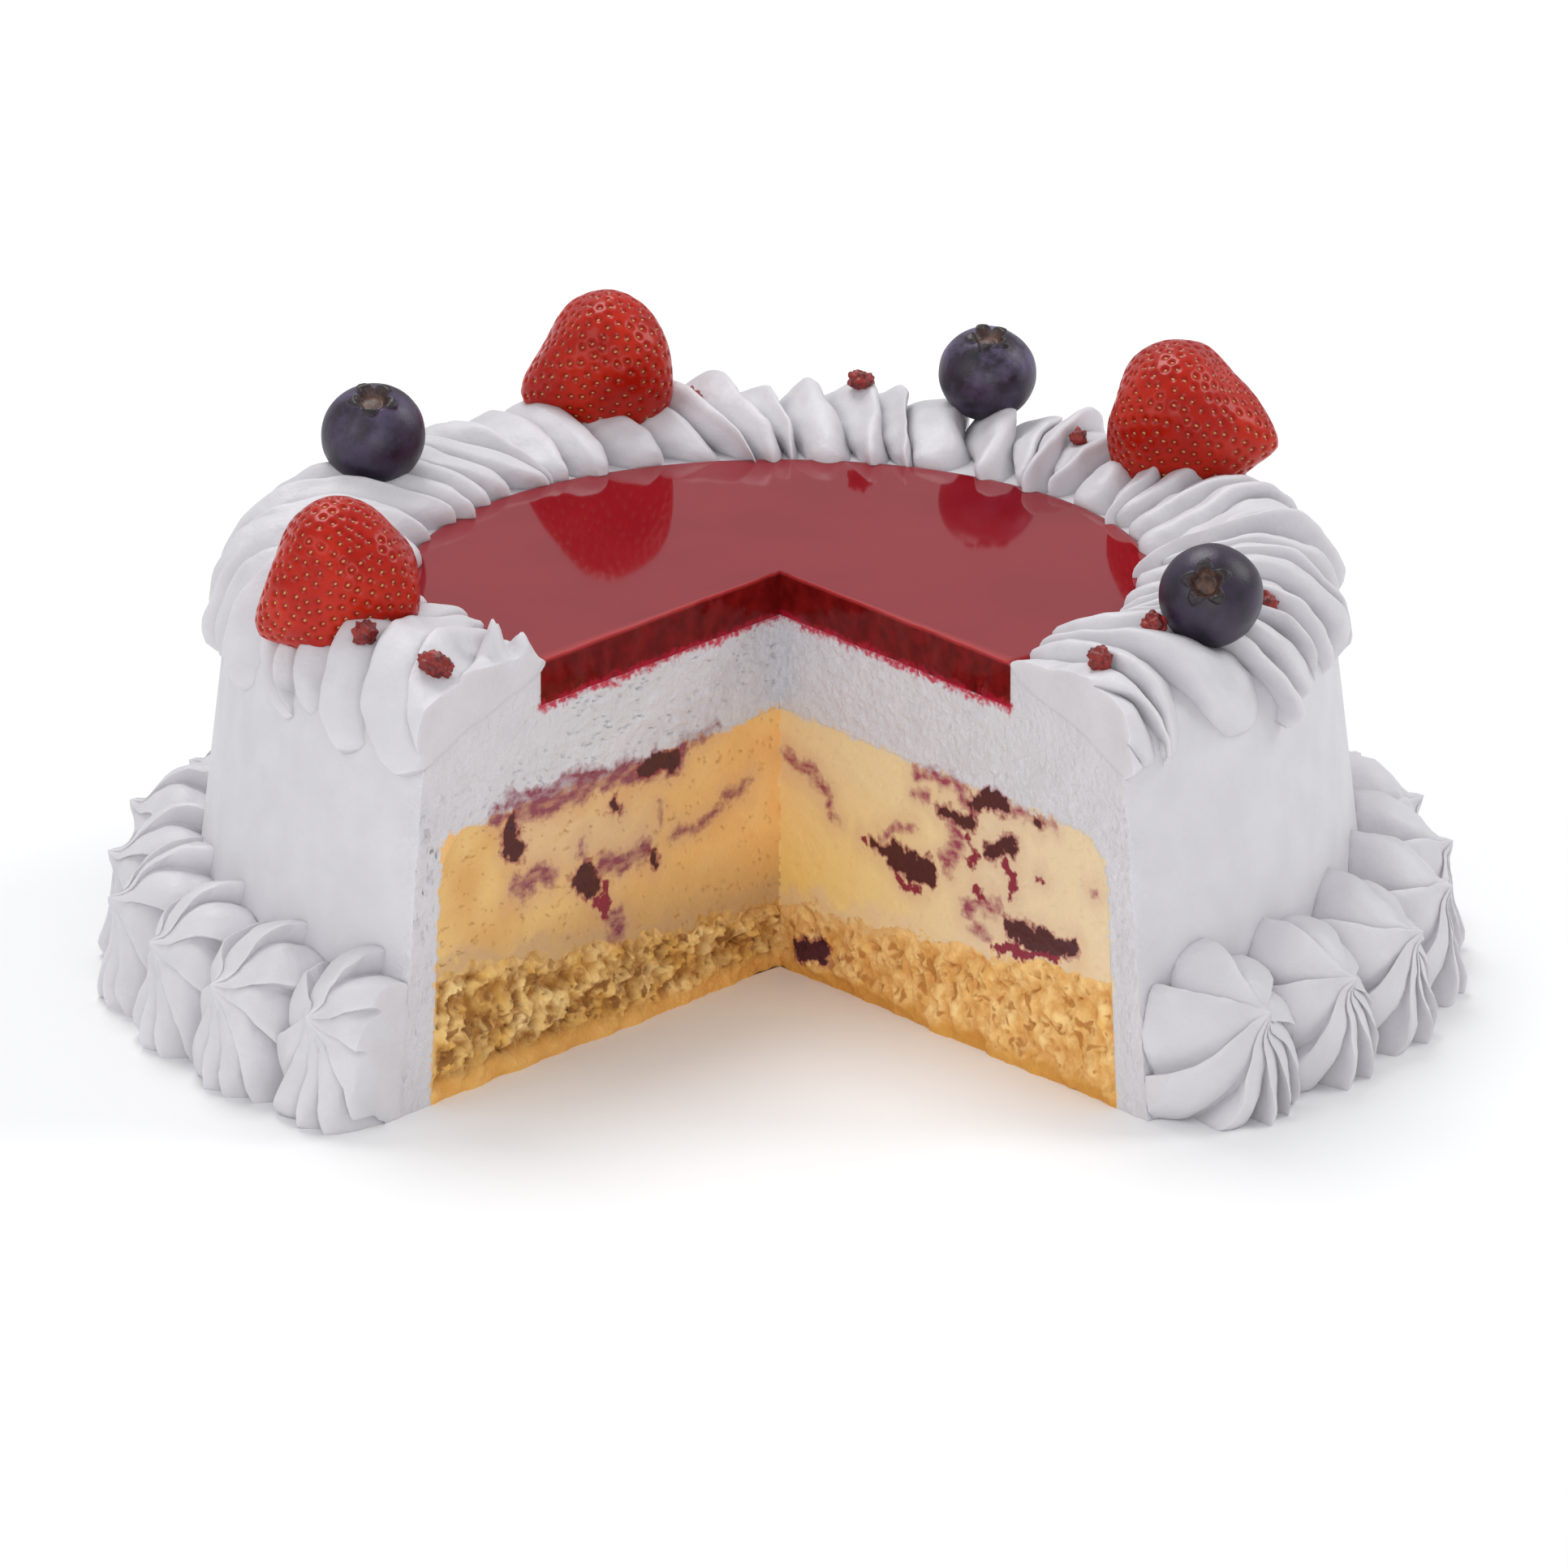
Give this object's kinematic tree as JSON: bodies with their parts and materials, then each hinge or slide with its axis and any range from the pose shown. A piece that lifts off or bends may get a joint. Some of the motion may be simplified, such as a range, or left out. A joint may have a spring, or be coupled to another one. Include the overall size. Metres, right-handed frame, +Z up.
{
  "type": "ice cream cake",
  "caption": "Round layered ice cream cake with a slice cut out, a red jelly top, piped cream rings round the top edge and the foot, and strawberries and blueberries on the upper ring.",
  "frame": {"origin": "middle of the bounding box on the plane that the cake stands on; the cake's own axis is 0.6 mm to the left of it and 14.5 mm in front, because the slice is missing there", "axes": "+Z up, the missing slice opens towards -Y, +X to the right when looking into the cut"},
  "size_m": [0.2406, 0.213, 0.0982],
  "materials": {
    "sponge": "open crumb",
    "vanilla_ice": "satin, frozen",
    "cream": "satin, whipped",
    "jelly": "wet gloss",
    "strawberry": "glossy skin",
    "blueberry": "waxy bloom"
  },
  "bodies": {
    "root": {"sponge_base": "sponge", "vanilla_ripple": "vanilla_ice", "cream_coat": "cream", "red_jelly": "jelly", "base_border": "cream", "top_border": "cream", "strawberry_left": "strawberry", "strawberry_back": "strawberry", "strawberry_right": "strawberry", "blueberry_left": "blueberry", "blueberry_back": "blueberry", "blueberry_right": "blueberry"}
  },
  "joints": []
}
